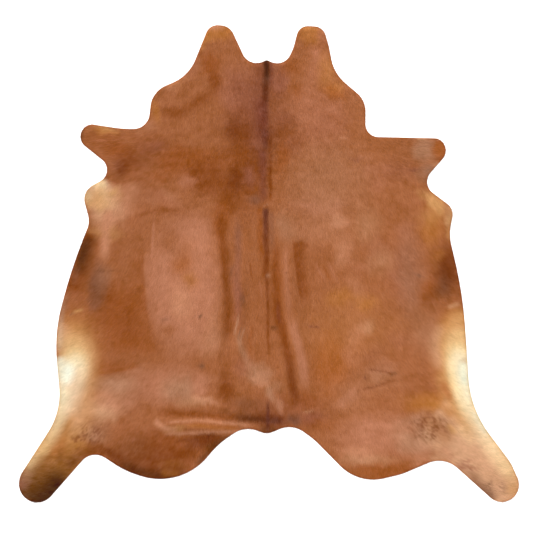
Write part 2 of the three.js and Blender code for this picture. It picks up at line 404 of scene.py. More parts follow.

# Markings are painted in order over the base tone: the hair's own markings, and with them painted light, the
# sheen of the nap and the shade and highlights of the rolls and folds. Soft patches: x, y, half width, half
# height, strength and tone, and where it isn't plain, how soft the rim is (0 to 1) and a turn in degrees.
PATCHES = [
    # ears and neck, left
    (-130, 720, 130, 190, 0.7, "mauve", 0.8),
    (-225, 1000, 95, 70, 0.95, "ochre", 0.6),
    (-238, 1012, 60, 28, 0.9, "rose"),
    (-282, 950, 36, 62, 0.85, "amber", 1.0, -20),
    (-288, 898, 24, 16, 0.7, "brown", 1.0, 20),
    (-255, 852, 66, 68, 0.9, "russet", 0.7),
    (-237, 790, 44, 66, 0.9, "brown", 0.7, 10),
    (-282, 720, 80, 44, 0.8, "brown", 1.0, 30),
    (-195, 745, 62, 60, 0.75, "rosewood", 0.8),
    (-118, 685, 120, 60, 0.7, "rosewood", 0.8),
    (-398, 655, 96, 46, 0.7, "brown", 0.9, 8),
    (-318, 680, 60, 44, 0.7, "brown"),
    (-496, 655, 34, 90, 0.85, "ochre", 1.0, 8),
    (-440, 770, 60, 22, 0.8, "blush", 1.0, 20),
    # ears and neck, right
    (215, 620, 200, 200, 0.75, "rosewood", 0.9),
    (48, 790, 58, 120, 0.75, "mauve", 0.8),
    (76, 775, 34, 30, 0.7, "rosewood"),
    (100, 840, 70, 70, 0.7, "russet"),
    (185, 985, 85, 60, 0.85, "ochre", 0.8),
    (225, 985, 40, 66, 0.8, "copper", 1.0, 8),
    (165, 1012, 66, 16, 0.7, "amber"),
    (214, 880, 52, 86, 0.8, "copper", 0.9),
    (228, 951, 20, 15, 0.7, "brown"),
    (182, 810, 52, 76, 0.7, "copper", 0.9),
    (170, 720, 76, 66, 0.7, "copper", 0.9),
    (285, 742, 80, 56, 0.85, "orange", 0.8, -20),
    (255, 655, 60, 30, 0.7, "copper"),
    (172, 628, 96, 44, 0.75, "copper", 0.9),
    (66, 620, 76, 66, 0.45, "plum"),
    (30, 570, 100, 60, 0.6, "brown"),
    # withers, shoulders and ribs
    (-95, 430, 150, 330, 0.85, "brown", 0.8),
    (-140, 566, 70, 84, 0.75, "chestnut"),
    (-330, 440, 220, 90, 0.85, "russet", 0.7),
    (-260, 370, 130, 110, 0.9, "brown", 0.7),
    (-180, 300, 80, 110, 0.8, "brown", 0.9),
    (-140, 350, 52, 90, 0.8, "chestnut", 0.9),
    (-84, 380, 44, 80, 0.8, "plum"),
    (-66, 275, 46, 40, 0.85, "taupe", 0.9),
    (-156, 232, 24, 28, 0.7, "brown"),
    (-205, 200, 56, 110, 0.8, "russet", 0.8),
    (-500, 500, 90, 50, 0.7, "plum"),
    (-450, 430, 70, 50, 0.7, "russet", 0.9),
    (-468, 372, 80, 36, 0.7, "russet", 0.9),
    (-352, 352, 54, 34, 0.85, "copper", 0.8),
    (-470, 275, 130, 52, 0.8, "copper", 0.8),
    (56, 440, 48, 120, 0.85, "russet", 0.8),
    (365, 452, 44, 20, 0.7, "plum"),
    (180, 235, 130, 60, 0.8, "copper", 0.9),
    (285, 245, 80, 60, 0.75, "copper", 0.9),
    (300, 178, 70, 46, 0.85, "rose", 0.9),
    (440, 400, 90, 60, 0.7, "copper", 0.9),
    (455, 335, 60, 50, 0.7, "copper", 0.9),
    # fore feet and elbows
    (-806, 550, 14, 44, 0.85, "umber", 1.0, -8),
    (-720, 575, 90, 26, 0.8, "amber"),
    (-650, 480, 90, 60, 0.85, "russet", 0.9),
    (-610, 440, 76, 80, 0.9, "brown", 0.8),
    (-648, 420, 60, 66, 0.8, "chestnut"),
    (-640, 250, 190, 120, 0.95, "rose", 0.8),
    (-710, 240, 100, 120, 0.8, "biscuit", 0.9),
    (-600, 320, 80, 50, 0.8, "rose"),
    (-716, 312, 100, 62, 0.85, "biscuit", 0.9, 12),
    (-772, 250, 30, 26, 0.6, "honey"),
    (-676, 318, 24, 44, 0.6, "honey", 1.0, -35),
    (-736, 338, 66, 46, 0.95, "shell", 0.9, 20),
    (-690, 190, 60, 90, 0.8, "rose"),
    (668, 490, 58, 72, 0.85, "fawn", 0.8),
    (650, 534, 40, 16, 0.85, "biscuit"),
    (734, 500, 34, 56, 0.9, "orange", 0.6),
    (728, 455, 40, 20, 0.75, "brown", 1.0, 35),
    (500, 380, 60, 70, 0.65, "copper"),
    (706, 170, 84, 150, 0.85, "ochre", 0.9),
    (700, 262, 90, 40, 0.8, "honey", 0.9, -30),
    (725, 250, 70, 44, 0.85, "honey", 1.0, -30),
    (580, 140, 60, 60, 0.7, "copper"),
    # flanks
    (-640, -215, 190, 190, 0.9, "russet", 0.8),
    (-560, -330, 140, 120, 0.75, "russet", 0.9),
    (-610, -250, 90, 120, 0.6, "brown"),
    (-690, -130, 60, 100, 0.7, "brown", 1.0, 10),
    (-742, -80, 56, 130, 0.8, "taupe", 0.9, -8),
    (-765, -165, 40, 60, 0.6, "taupe"),
    (590, -40, 110, 240, 0.75, "rosewood", 0.8),
    (470, 60, 90, 120, 0.5, "rosewood"),
    (690, -120, 80, 100, 0.8, "russet", 0.9),
    (775, -20, 120, 170, 0.95, "chestnut", 0.9, 8),
    (636, -48, 18, 16, 0.7, "slate"),
    # loins and back, left, with the lighter plateau partly painted highlight where the left loin roll faces
    # the lamp
    (-366, -90, 192, 395, 0.9, "blush", 0.5),
    (-470, -60, 80, 150, 0.5, "blush", 0.9, 6),
    (-300, 120, 80, 110, 0.8, "blush", 0.9),
    (-430, 100, 60, 90, 0.8, "caramel", 0.9),
    (-380, -10, 66, 72, 0.7, "orange", 1.0, 20),
    (-338, -80, 42, 52, 0.65, "ochre"),
    (-380, -165, 76, 90, 0.85, "rose", 0.9),
    (-425, -290, 66, 44, 0.8, "caramel", 0.9),
    (-304, -220, 20, 15, 0.85, "slate"),
    (-440, -230, 30, 18, 0.75, "taupe"),
    (-292, -440, 24, 18, 0.8, "slate"),
    (-132, -150, 34, 190, 0.6, "mauve", 0.9, 4),
    (-116, -165, 20, 40, 0.5, "slate", 1.0, 30),
    (-150, -30, 14, 60, 0.6, "taupe"),
    (-16, 254, 22, 6, 0.8, "rose", 1.0, 15),
    # back, loin and haunch, right
    (325, 40, 76, 120, 0.6, "rose"),
    (400, -20, 70, 60, 0.5, "copper"),
    (300, -150, 110, 60, 0.7, "ochre", 0.9),
    (410, -165, 80, 50, 0.8, "ochre", 0.9),
    (388, -290, 66, 110, 0.75, "blush", 1.0, -20),
    (260, -430, 110, 190, 0.8, "orange", 0.7),
    (345, -385, 60, 70, 0.7, "copper", 0.9),
    (440, -390, 100, 40, 0.6, "rosewood", 0.9, 20),
    (480, -450, 110, 60, 0.7, "copper", 0.9),
    (560, -330, 90, 60, 0.5, "rosewood"),
    (350, -575, 90, 40, 0.7, "blush", 0.9, 30),
    (414, -498, 16, 15, 0.9, "wine"),
    (534, -473, 20, 15, 0.9, "umber"),
    # rump and tail, with a thin painted highlight above the fold across the rump
    (-440, -520, 270, 110, 0.85, "blush", 0.7),
    (-560, -520, 110, 90, 0.8, "copper", 0.9),
    (-385, -540, 120, 90, 0.85, "fawn", 0.8),
    (-300, -530, 56, 90, 0.8, "blush", 0.8),
    (-272, -598, 92, 20, 0.85, "rose", 0.8, -12),
    (-178, -545, 60, 64, 0.9, "brown", 0.9),
    (-186, -530, 50, 90, 0.4, "chestnut"),
    (-110, -440, 60, 66, 0.7, "rosewood", 0.9),
    (-50, -470, 86, 52, 0.85, "fawn", 1.0, -30),
    (-22, -500, 56, 44, 0.7, "rose", 1.0, -30),
    (12, -560, 30, 50, 0.8, "fawn", 0.8, 12),
    (42, -608, 26, 46, 0.85, "rose", 0.8, 22),
    (10, -664, 90, 46, 0.9, "chestnut", 0.9),
    (98, -668, 50, 34, 0.85, "slate", 0.8),
    (180, -665, 80, 50, 0.75, "plum", 0.9),
    (150, -590, 110, 60, 0.7, "russet"),
    # thighs
    (520, -745, 330, 130, 0.85, "blush", 0.7),
    (380, -825, 110, 60, 0.8, "rose", 0.9),
    (490, -898, 190, 46, 0.8, "russet", 0.8, 3),
    (655, -850, 70, 40, 0.7, "rose", 1.0, 25),
    (-440, -790, 210, 120, 0.85, "russet", 0.8),
    (-430, -840, 190, 70, 0.8, "brown", 0.9, 5),
    (-275, -765, 120, 48, 0.9, "chestnut", 0.8, 14),
    (-240, -790, 60, 40, 0.7, "umber", 1.0, 40),
    (-330, -830, 70, 50, 0.6, "brown", 1.0, 30),
    # flanks, hind legs and the bright hair between them
    (-700, -440, 100, 60, 0.8, "russet", 1.0, 5),
    (-700, -530, 160, 70, 0.9, "fawn", 0.8),
    (-725, -600, 150, 100, 0.95, "rose", 0.8),
    (-640, -620, 90, 50, 0.5, "rose"),
    (-590, -600, 80, 66, 0.7, "blush"),
    (-770, -735, 110, 80, 0.85, "fawn", 0.9),
    (-745, -640, 120, 76, 0.95, "biscuit", 1.0, -12),
    (-735, -800, 120, 36, 0.7, "brown"),
    (-690, -810, 90, 36, 0.7, "chestnut", 1.0, -15),
    (700, -600, 170, 80, 0.9, "ochre", 0.8),
    (740, -620, 90, 50, 0.8, "amber"),
    (640, -740, 160, 120, 0.9, "fawn", 0.8),
    (705, -700, 84, 76, 0.85, "taupe", 0.9),
    (712, -690, 60, 50, 0.5, "slate"),
    (745, -540, 30, 26, 0.7, "russet"),
    # fainter tints and last touches, over all of it
    (0, -712, 66, 50, 0.8, "umber"),
    (-50, 560, 160, 180, 0.4, "chestnut"),
    (90, 530, 120, 100, 0.4, "brown"),
    (-560, 300, 90, 200, 0.4, "brown"),
    (220, 130, 230, 90, 0.4, "rose"),
    (-235, -320, 60, 110, 0.6, "rose"),
    (-170, -520, 60, 190, 0.45, "brown"),
    (360, -570, 140, 110, 0.3, "rose", 1.0, -30),
    (-120, -716, 50, 26, 0.5, "rose"),
    (180, -690, 80, 60, 0.4, "brown"),
    (-570, -800, 180, 120, 0.35, "umber"),
    (-750, -90, 60, 190, 0.35, "umber", 1.0, 8),
    (560, 400, 110, 90, 0.35, "mauve"),
    (-20, 690, 210, 230, 0.4, "wine"),
    (-520, 510, 170, 110, 0.35, "brown"),
    (-556, 225, 80, 60, 0.4, "russet"),
    (250, 340, 250, 260, 0.33, "fawn", 0.8),
    (20, -150, 110, 230, 0.35, "brown"),
    (340, -280, 330, 230, 0.2, "amber", 0.9),
    (690, -300, 110, 170, 0.4, "fawn"),
    (-640, -520, 190, 190, 0.33, "fawn"),
    (-440, -800, 250, 150, 0.35, "chestnut", 0.9),
    (60, -640, 300, 120, 0.33, "wine", 0.9),
    (250, 830, 60, 120, 0.45, "amber"),
    (-180, 585, 130, 90, 0.4, "chestnut"),
    (-20, 510, 90, 170, 0.4, "liver"),
    (100, 510, 80, 90, 0.25, "wine"),
    (-420, 782, 80, 28, 0.45, "amber", 1.0, 15),
    (-560, 445, 100, 80, 0.35, "chestnut"),
    (-600, 190, 60, 56, 0.45, "russet"),
    (-375, -20, 66, 120, 0.4, "caramel"),
    (-265, -345, 70, 110, 0.5, "rose"),
    (-120, -590, 90, 60, 0.25, "umber"),
    (-130, -655, 90, 40, 0.35, "umber"),
    (40, -535, 66, 50, 0.45, "fawn"),
    (-330, -605, 120, 36, 0.35, "biscuit"),
    (-420, -875, 80, 50, 0.4, "amber"),
    (240, -700, 90, 60, 0.4, "russet"),
    (425, 170, 90, 120, 0.25, "biscuit"),
    (372, -110, 64, 80, 0.3, "rose"),
    (605, -60, 90, 330, 0.35, "dun"),
    (480, -490, 120, 90, 0.4, "fawn"),
    (420, -856, 200, 36, 0.35, "biscuit"),
    (-720, 545, 100, 60, 0.35, "russet"),
    (-735, 272, 50, 44, 0.4, "honey"),
    (-790, 280, 44, 60, 0.5, "butter"),
    (-720, 270, 80, 70, 0.35, "wheat"),
    (-715, -60, 60, 90, 0.25, "fawn"),
    (-660, -370, 120, 80, 0.35, "russet"),
    (675, 395, 56, 60, 0.6, "dun"),
    (705, -145, 70, 80, 0.3, "umber"),
    (715, 25, 44, 56, 0.35, "ochre"),
    (720, -845, 50, 40, 0.6, "biscuit"),
    (735, 230, 40, 50, 0.5, "honey"),
    (70, 150, 70, 110, 0.5, "fawn"),
    (614, 405, 46, 32, 0.6, "plum"),
    (616, 400, 22, 16, 0.6, "liver"),
    (-70, -612, 100, 50, 0.35, "umber"),
    (-305, -785, 80, 40, 0.35, "chestnut"),
    (425, -265, 70, 60, 0.3, "biscuit"),
    (-242, -240, 44, 66, 0.4, "rose"),
    (300, 770, 44, 44, 0.4, "amber"),
    (0, -485, 44, 50, 0.35, "fawn"),
    (795, 185, 50, 100, 0.45, "wheat"),
    (670, 375, 80, 60, 0.4, "dun"),
    (-710, 125, 120, 50, 0.45, "honey"),
    (-728, 318, 66, 60, 0.5, "wheat"),
    (-738, 345, 50, 34, 0.6, "butter"),
    (-740, 255, 50, 34, 0.5, "honey"),
    (-660, 300, 50, 50, 0.3, "honey"),
    (-670, 500, 130, 60, 0.4, "russet"),
    (-710, 588, 70, 24, 0.5, "honey"),
    (760, -70, 70, 120, 0.4, "umber"),
    (124, 740, 70, 60, 0.5, "russet"),
    (-540, 590, 70, 44, 0.4, "rose"),
    (0, 850, 50, 60, 0.35, "liver"),
    (480, 10, 100, 100, 0.25, "biscuit"),
    (-360, 40, 70, 130, 0.3, "orange"),
    (-420, 300, 70, 40, 0.35, "rose"),
    (-400, -715, 80, 30, 0.35, "honey"),
    (-180, -655, 50, 30, 0.4, "umber"),
    (600, -720, 80, 44, 0.35, "russet"),
    (700, 200, 90, 60, 0.3, "honey"),
    (762, -100, 60, 84, 0.4, "slate"),
    (742, 44, 44, 34, 0.45, "ochre"),
    (-905, -468, 30, 54, 0.5, "ivory"),
    (-782, -842, 52, 40, 0.45, "umber"),
    (-898, -300, 26, 52, 0.45, "honey"),
    (718, 424, 40, 32, 0.5, "biscuit"),
    (782, 118, 30, 46, 0.6, "honey"),
    (-122, -720, 44, 24, 0.4, "biscuit"),
]
PLAIN_PATCH = [1.0, 0]

# Soft streaks: from, middle, to, how far they reach to the left and to the right, strength and tone or
# tones, and where it isn't plain, over which share both ends fade and how soft the sides are.
STREAKS = [
    # the dark line down the back, and the crease that goes on from it
    ((-18, 885), (-32, 700), (-50, 470), 56, 74, 0.6, "wine to mauve", 0.08),
    ((-13, 885), (-14, 760), (-20, 590), 26, 27, 0.85, "bistre to wine", 0.04, 0.9),
    ((-12, 885), (-12, 850), (-12, 790), 17, 19, 0.6, "bistre", 0.12),
    ((8, 880), (8, 820), (8, 740), 22, 14, 0.55, "wine", 0.25),
    ((-26, 720), (-32, 640), (-16, 480), 34, 46, 0.75, "wine", 0.25),
    ((-20, 590), (-18, 540), (-14, 470), 22, 22, 0.5, "liver"),
    ((-24, 500), (-24, 380), (-22, 258), 26, 34, 0.8, "wine to plum", 0.12, 0.9),
    ((5, 560), (6, 400), (4, 252), 14, 14, 0.85, "chestnut to brown", 0.15),
    ((-38, 262), (-36, 150), (-32, -10), 22, 24, 0.85, "russet", 0.2),
    ((10, 255), (10, 150), (10, 30), 24, 16, 0.5, "taupe"),
    ((-13, 246), (-12, 100), (-12, -70), 19, 22, 0.95, "liver to brown", 0.08, 0.8),
    ((-8, -10), (-7, -200), (-2, -410), 13, 13, 0.8, "chestnut to brown", 0.12),
    # left loin, with painted shade on the steep side of its roll, away from the lamp
    ((-541, 90), (-541, -80), (-512, -310), 7, 80, 0.45, "russet"),
    ((-528, 90), (-528, -80), (-498, -310), 60, 12, 0.4, "blush"),
    ((-222, 250), (-186, -60), (-174, -350), 38, 32, 0.85, "brown", 0.15),
    ((-134, 220), (-134, 0), (-140, -300), 28, 26, 0.7, "taupe to mauve", 0.25),
    ((-82, 10), (-78, -30), (-62, -80), 8, 8, 0.7, "brown"),
    ((-45, -60), (-35, -110), (-30, -160), 6, 6, 0.6, "copper"),
    ((-128, -210), (-136, -260), (-152, -330), 9, 9, 0.75, "fawn"),
    ((-100, -270), (-112, -310), (-126, -360), 6, 6, 0.75, "fawn"),
    ((-110, -262), (-124, -300), (-136, -350), 5, 5, 0.7, "slate"),
    ((-70, -250), (-80, -330), (-84, -420), 12, 12, 0.6, "russet"),
    ((-132, -270), (-116, -370), (-70, -450), 24, 24, 0.55, "fawn"),
    # right loin: painted shade in the trough beside its roll and on its far slope, and a painted highlight
    # along its crest
    ((28, 100), (30, -80), (44, -330), 26, 26, 0.85, "brown", 0.2, 0.8),
    ((44, -190), (82, -400), (122, -625), 32, 32, 0.95, "brown to chestnut", 0.15, 0.9),
    ((72, 130), (72, -80), (92, -290), 26, 24, 0.45, "blush"),
    ((86, -230), (130, -370), (156, -560), 34, 28, 0.75, "blush", 0.2, 0.8),
    ((38, -150), (42, -210), (48, -270), 18, 18, 0.5, "wine"),
    ((162, -267), (190, -271), (225, -275), 7, 8, 0.85, "wine"),
    ((2, -277), (22, -276), (44, -274), 11, 11, 0.9, "umber"),
    ((-14, -55), (-1, -53), (12, -55), 11, 11, 0.65, "fawn"),
    ((108, 100), (117, 5), (143, -190), 60, 14, 0.9, "brown", 0.16, 0.9),
    ((112, 92), (150, 84), (176, 60), 12, 40, 0.6, "brown"),
    ((196, 10), (214, -30), (246, -80), 9, 9, 0.7, "copper"),
    ((254, 10), (270, -30), (306, -100), 12, 12, 0.6, "copper"),
    # nicks on the right shoulder, and a last wisp on the loin
    ((292, 536), (318, 540), (346, 531), 6, 6, 0.8, "rose"),
    ((322, 474), (338, 486), (362, 470), 5, 5, 0.6, "blush"),
    ((376, 452), (410, 462), (452, 444), 5, 6, 0.6, "blush"),
    ((340, 512), (352, 500), (366, 506), 5, 5, 0.5, "russet"),
    ((228, 0), (246, -40), (276, -90), 9, 9, 0.6, "russet"),
    # shoulders and flanks; the brown line over the left shoulder is a crease drawn as painted shade
    ((-310, 905), (-352, 805), (-480, 745), 30, 36, 0.5, "copper"),
    ((-612, 182), (-480, 230), (-345, 218), 14, 20, 0.5, "brown"),
    ((-496, 218), (-500, 110), (-508, -10), 11, 11, 0.7, "blush"),
    ((-784, 140), (-808, 40), (-872, -150), 76, 30, 0.95, "brown", 0.12, 0.8),
    ((-780, 130), (-798, 50), (-834, -70), 62, 34, 0.8, "umber", 0.2),
    ((-700, 250), (-704, 130), (-712, -20), 34, 34, 0.85, "rose", 0.25),
    ((-790, -476), (-680, -464), (-540, -436), 56, 14, 0.65, "russet", 0.2),
    ((-772, -28), (-690, -31), (-600, -30), 4, 4, 0.55, "umber"),
    ((-792, 110), (-806, 50), (-826, -20), 46, 30, 0.4, "bistre"),
    ((-862, -228), (-848, -216), (-836, -208), 8, 8, 0.8, "slate"),
    ((-850, -212), (-825, -204), (-800, -200), 12, 10, 0.8, "honey"),
    ((765, -192), (795, -182), (830, -168), 14, 12, 0.6, "biscuit"),
    # scars on the right haunch and beside the tail
    ((396, -545), (470, -526), (562, -496), 6.5, 6.5, 0.9, "chestnut", 0.2),
    ((424, -452), (480, -464), (550, -475), 5, 5, 0.85, "chestnut", 0.2),
    ((440, -545), (500, -520), (580, -480), 3, 12, 0.5, "caramel"),
    ((134, -640), (165, -636), (200, -630), 3.5, 3.5, 0.6, "biscuit"),
    # rump: painted shade above the fold across it and two thin painted highlights along it, orange between
    ((-500, -640), (-230, -657), (70, -680), 28, 24, 0.85, "brown", 0.15),
    ((-190, -660), (-20, -672), (74, -680), 32, 26, 0.9, "umber to liver", 0.25),
    ((-500, -664), (-450, -704), (-385, -716), 18, 28, 0.9, "rose", 0.2),
    ((-380, -702), (-235, -703), (-110, -707), 15, 16, 0.9, "ochre to orange", 0.2),
    ((-475, -686), (-250, -679), (-50, -703), 8, 9, 0.9, "rose", 0.16, 0.9),
    ((-460, -734), (-290, -729), (-120, -716), 10, 9, 0.9, "rose", 0.1, 0.9),
    ((-420, -758), (-290, -751), (-170, -740), 5, 20, 0.75, "chestnut", 0.2),
    ((-4, -575), (-4, -660), (-4, -735), 13, 14, 0.75, "liver"),
    ((-155, -722), (-120, -724), (-85, -726), 17, 15, 0.5, "rose"),
    # dark and pale margins of the thighs and legs: painted shade along their lower and inner edges, and pale
    # cream hair whose brightest cores are partly painted highlight
    ((-720, -830), (-540, -915), (-320, -905), 110, 40, 0.95, "chestnut", 0.16),
    ((-660, -850), (-520, -912), (-340, -912), 44, 20, 0.85, "umber", 0.2),
    ((-330, -900), (-240, -800), (-150, -735), 30, 14, 0.7, "umber", 0.2),
    ((-480, -896), (-425, -905), (-370, -903), 26, 26, 0.5, "ochre"),
    ((-868, -710), (-935, -880), (-1015, -1070), 160, 160, 1.0, "amber to bistre", 0.14, 0.5),
    ((-850, -310), (-830, -430), (-855, -640), 160, 110, 0.75, "amber", 0),
    ((-855, -335), (-835, -440), (-862, -700), 122, 90, 0.85, "honey", 0),
    ((-884, -285), (-885, -320), (-888, -350), 46, 60, 0.5, "biscuit", 0),
    ((-842, -385), (-835, -450), (-868, -640), 116, 90, 0.85, "wheat to biscuit", 0, 0.9),
    ((-838, -600), (-868, -690), (-930, -800), 44, 34, 0.85, "honey to ochre", 0),
    ((-838, -425), (-836, -462), (-872, -600), 84, 90, 0.95, "butter to shell", 0, 0.9),
    ((-838, -440), (-840, -470), (-874, -545), 68, 80, 0.95, "cream to shell", 0, 0.9),
    ((-868, -460), (-873, -476), (-880, -492), 50, 55, 1.0, "ivory", 0),
    ((-884, -560), (-915, -680), (-975, -780), 58, 70, 0.9, "cream to wheat", 0),
    ((-985, -800), (-1028, -865), (-1065, -945), 50, 60, 0.85, "wheat to taupe", 0),
    ((-915, -950), (-950, -1005), (-985, -1060), 100, 100, 0.9, "bistre", 0),
    ((-730, -800), (-800, -826), (-880, -900), 30, 60, 0.7, "brown to umber", 0.2),
    ((-862, -130), (-884, -170), (-895, -215), 26, 20, 0.6, "brown"),
    ((700, -640), (870, -800), (1040, -1060), 150, 150, 1.0, "biscuit", 0.08, 0.5),
    ((800, -290), (775, -430), (830, -600), 110, 110, 0.7, "amber", 0),
    ((812, -228), (775, -300), (785, -420), 70, 76, 0.8, "amber", 0),
    ((770, -500), (800, -590), (860, -700), 60, 66, 0.8, "honey", 0),
    ((744, -300), (728, -362), (742, -420), 50, 60, 0.6, "biscuit", 0),
    ((826, -265), (802, -390), (868, -600), 100, 86, 0.9, "honey", 0, 0.7),
    ((826, -330), (808, -425), (872, -615), 100, 74, 0.9, "wheat", 0, 0.7),
    ((822, -388), (812, -450), (864, -590), 90, 66, 0.9, "butter", 0, 0.8),
    ((822, -408), (812, -455), (850, -540), 80, 56, 0.9, "cream to butter", 0, 0.9),
    ((842, -440), (840, -475), (846, -510), 60, 50, 0.85, "bone", 0),
    ((855, -560), (927, -715), (1032, -870), 72, 78, 0.95, "cream to peach", 0),
    ((1030, -870), (1052, -920), (1058, -975), 60, 52, 0.65, "peach to honey", 0),
    ((790, -850), (880, -940), (990, -1035), 60, 34, 0.9, "fawn to slate", 0.16),
    ((680, -680), (712, -702), (745, -712), 80, 80, 0.6, "fawn to taupe", 0),
    # last touches on the flanks and legs
    ((-836, 10), (-838, -50), (-842, -110), 36, 30, 0.35, "taupe"),
    ((-900, -400), (-898, -450), (-894, -520), 26, 26, 0.5, "bone"),
    ((740, -490), (762, -545), (792, -605), 34, 28, 0.65, "orange"),
    ((838, -400), (842, -418), (846, -436), 30, 30, 0.4, "honey"),
    ((842, -430), (850, -520), (880, -620), 40, 26, 0.35, "bone"),
    ((885, -620), (918, -680), (955, -750), 36, 36, 0.5, "bone"),
    ((650, -650), (720, -700), (790, -790), 80, 70, 0.35, "ochre", 0.2),
    ((715, -590), (760, -628), (800, -665), 32, 34, 0.6, "amber"),
    ((762, -690), (788, -712), (812, -742), 26, 26, 0.7, "honey"),
    ((800, -690), (850, -740), (900, -790), 50, 40, 0.35, "peach"),
    ((1000, -820), (1030, -870), (1050, -920), 30, 30, 0.35, "peach"),
    ((965, -1040), (1010, -1050), (1060, -1010), 16, 30, 0.6, "brown"),
    ((-900, -390), (-903, -480), (-896, -640), 40, 40, 0.55, "ivory to cream", 0.2),
    ((-866, -100), (-900, -230), (-904, -400), 28, 28, 0.25, "rose to bone", 0.2),
    ((-1000, -800), (-1024, -845), (-1045, -890), 26, 26, 0.4, "butter"),
    ((-885, -770), (-898, -815), (-905, -865), 30, 30, 0.5, "ochre to umber"),
    ((735, -775), (770, -815), (800, -850), 36, 36, 0.4, "copper"),
    ((815, -885), (848, -908), (880, -932), 26, 26, 0.45, "biscuit"),
]
PLAIN_STREAK = [0.3, 1.0]
STREAK_PIECES = 12

# Places where the hair is worn rough and the darker under-hair shows in specks.
ROUGH = [
    # x, y, half width, half height, tone of the specks
    (-775, -735, 95, 70, "chestnut"),
    (-835, -775, 44, 44, "chestnut"),
    (692, -708, 115, 88, "chestnut"),
    (860, -870, 60, 40, "mauve"),
    (970, -965, 70, 50, "slate"),
]
SPECKS = ((0.8, 7, 71), (0.5, 17, 72))
SPECKS_FROM = -0.15  # a speck starts where its noise passes this
SPECKS_FULL = 0.45
SPECK_STRENGTH = 0.65
ROUGH_FADE = 1.6

# How far the markings' outlines stray, across and along the hide. Each layer of noise here and below is a
# strength, a blot size and a seed.
STRAY_ACROSS = ((14, 90, 11), (9, 34, 12), (5, 13, 15))
STRAY_ALONG = ((14, 90, 13), (9, 34, 14), (5, 13, 16))
STREAK_STRAY = 0.2  # streaks stray by only this share of it

# Fine wisps of lighter and darker hair: across the neck, shoulders and thighs, along the loins and flanks.
WISP_STRETCH = 2.6
WISPS_ACROSS = ((2.3, 6, 47), (1.9, 11, 52), (1.6, 22, 63))
WISPS_ALONG = ((2.3, 6, 57), (1.9, 11, 62), (1.6, 22, 73))
WISP_BLOTS = ((2.5, 7, 68), (2.0, 15, 76), (1.7, 36, 97), (1.7, 75, 136))
LOINS_FROM = -520
LOINS_TO = 260
LOINS_BLEND = 120
ACROSS_SHARE = 1.4
ACROSS_LOSS = 0.9  # on the loins
ALONG_SHARE = 0.1
ALONG_GAIN = 0.5  # on the loins
WISP_STRENGTH = 1.5
WISP_SHADE = 0.012
WISP_GLINT = 0.0011

RIM_WIDTH = 9  # the coat is painted darker and redder this far inside the cut
RIM_LOSS = np.array([0.10, 0.22, 0.34])


def linear(colour):
    """A colour on the 0 to 255 scale as light, by the usual screen curve."""
    c = np.array(colour, float) / 255
    return np.where(c < 0.04045, c / 12.92, ((c + 0.055) / 1.055) ** 2.4)


def lay_on(colour, chosen, weight, tone):
    """Blends a tone, or a run from one tone to another, over the chosen places."""
    colour[chosen] += weight[:, None] * (tone - colour[chosen])


def lay_patches(colour, x, y):
    """Paints the soft patches."""
    for middle_x, middle_y, half_w, half_h, strength, tone, *own in PATCHES:
        softness, turned = own + PLAIN_PATCH[len(own) :]
        reach = max(half_w, half_h)
        near = (np.abs(x - middle_x) < reach) & (np.abs(y - middle_y) < reach)
        dx, dy = x[near] - middle_x, y[near] - middle_y
        c, s = math.cos(math.radians(turned)), math.sin(math.radians(turned))
        out = np.hypot((dx * c + dy * s) / half_w, (dy * c - dx * s) / half_h)
        lay_on(colour, near, strength * eased((1 - out) / softness), linear(TONES[tone]))


def lay_streaks(colour, x, y):
    """Paints the soft streaks."""
    for start, middle, end, left, right, strength, tones, *own in STREAKS:
        fade, softness = own + PLAIN_STREAK[len(own) :]
        curve = curve_through(start, middle, end, STREAK_PIECES)
        near = near_curve(x, y, curve, max(left, right))
        gap, side, share = along_curve(x[near], y[near], curve)
        ends = 1 - bell(np.minimum(share, 1 - share), fade) if fade else 1
        weight = strength * ends * eased((1 - gap / np.where(side > 0, left, right)) / softness)
        first, last = (linear(TONES[tone]) for tone in (tones.split(" to ") * 2)[:2])
        lay_on(colour, near, weight, first + share[:, None] * (last - first))


def lay_specks(colour, x, y):
    """Paints the specks of the rough places, fewer towards their rims."""
    for middle_x, middle_y, half_w, half_h, tone in ROUGH:
        out = np.hypot((x - middle_x) / half_w, (y - middle_y) / half_h)
        near = out < 1
        specks = (layered(x[near], y[near], SPECKS) - SPECKS_FROM) / (SPECKS_FULL - SPECKS_FROM)
        weight = SPECK_STRENGTH * eased(specks) * eased(ROUGH_FADE * (1 - out[near]))
        lay_on(colour, near, weight, linear(TONES[tone]))


def wisps(x, y):
    """How light (above 0) or dark (below 0) the fine wisps are."""
    loins = np.clip((LOINS_TO - y) / LOINS_BLEND, 0, 1) * np.clip((y - LOINS_FROM) / LOINS_BLEND, 0, 1)
    along = layered(x, y / WISP_STRETCH, WISPS_ALONG) * (ALONG_SHARE + ALONG_GAIN * loins)
    across = layered(x / WISP_STRETCH, y, WISPS_ACROSS) * (ACROSS_SHARE - ACROSS_LOSS * loins)
    return WISP_STRENGTH * (layered(x, y, WISP_BLOTS) + along + across)


def coat_colour(x, y, depth):
    """The hair's colour, as light, at places on the hide that far inside the cut, with painted shade,
    highlights and sheen.
    """
    colour = np.tile(linear(TONES[BASE_TONE]), (len(x), 1))
    stray_x = layered(x, y, STRAY_ACROSS)
    stray_y = layered(x, y, STRAY_ALONG)
    lay_patches(colour, x + stray_x, y + stray_y)
    lay_streaks(colour, x + STREAK_STRAY * stray_x, y + STREAK_STRAY * stray_y)
    lay_specks(colour, x, y)
    fine = wisps(x, y)[:, None]
    colour = colour * (1 + WISP_SHADE * fine) + WISP_GLINT * fine
    return colour * (1 - bell(depth, RIM_WIDTH)[:, None] * RIM_LOSS)


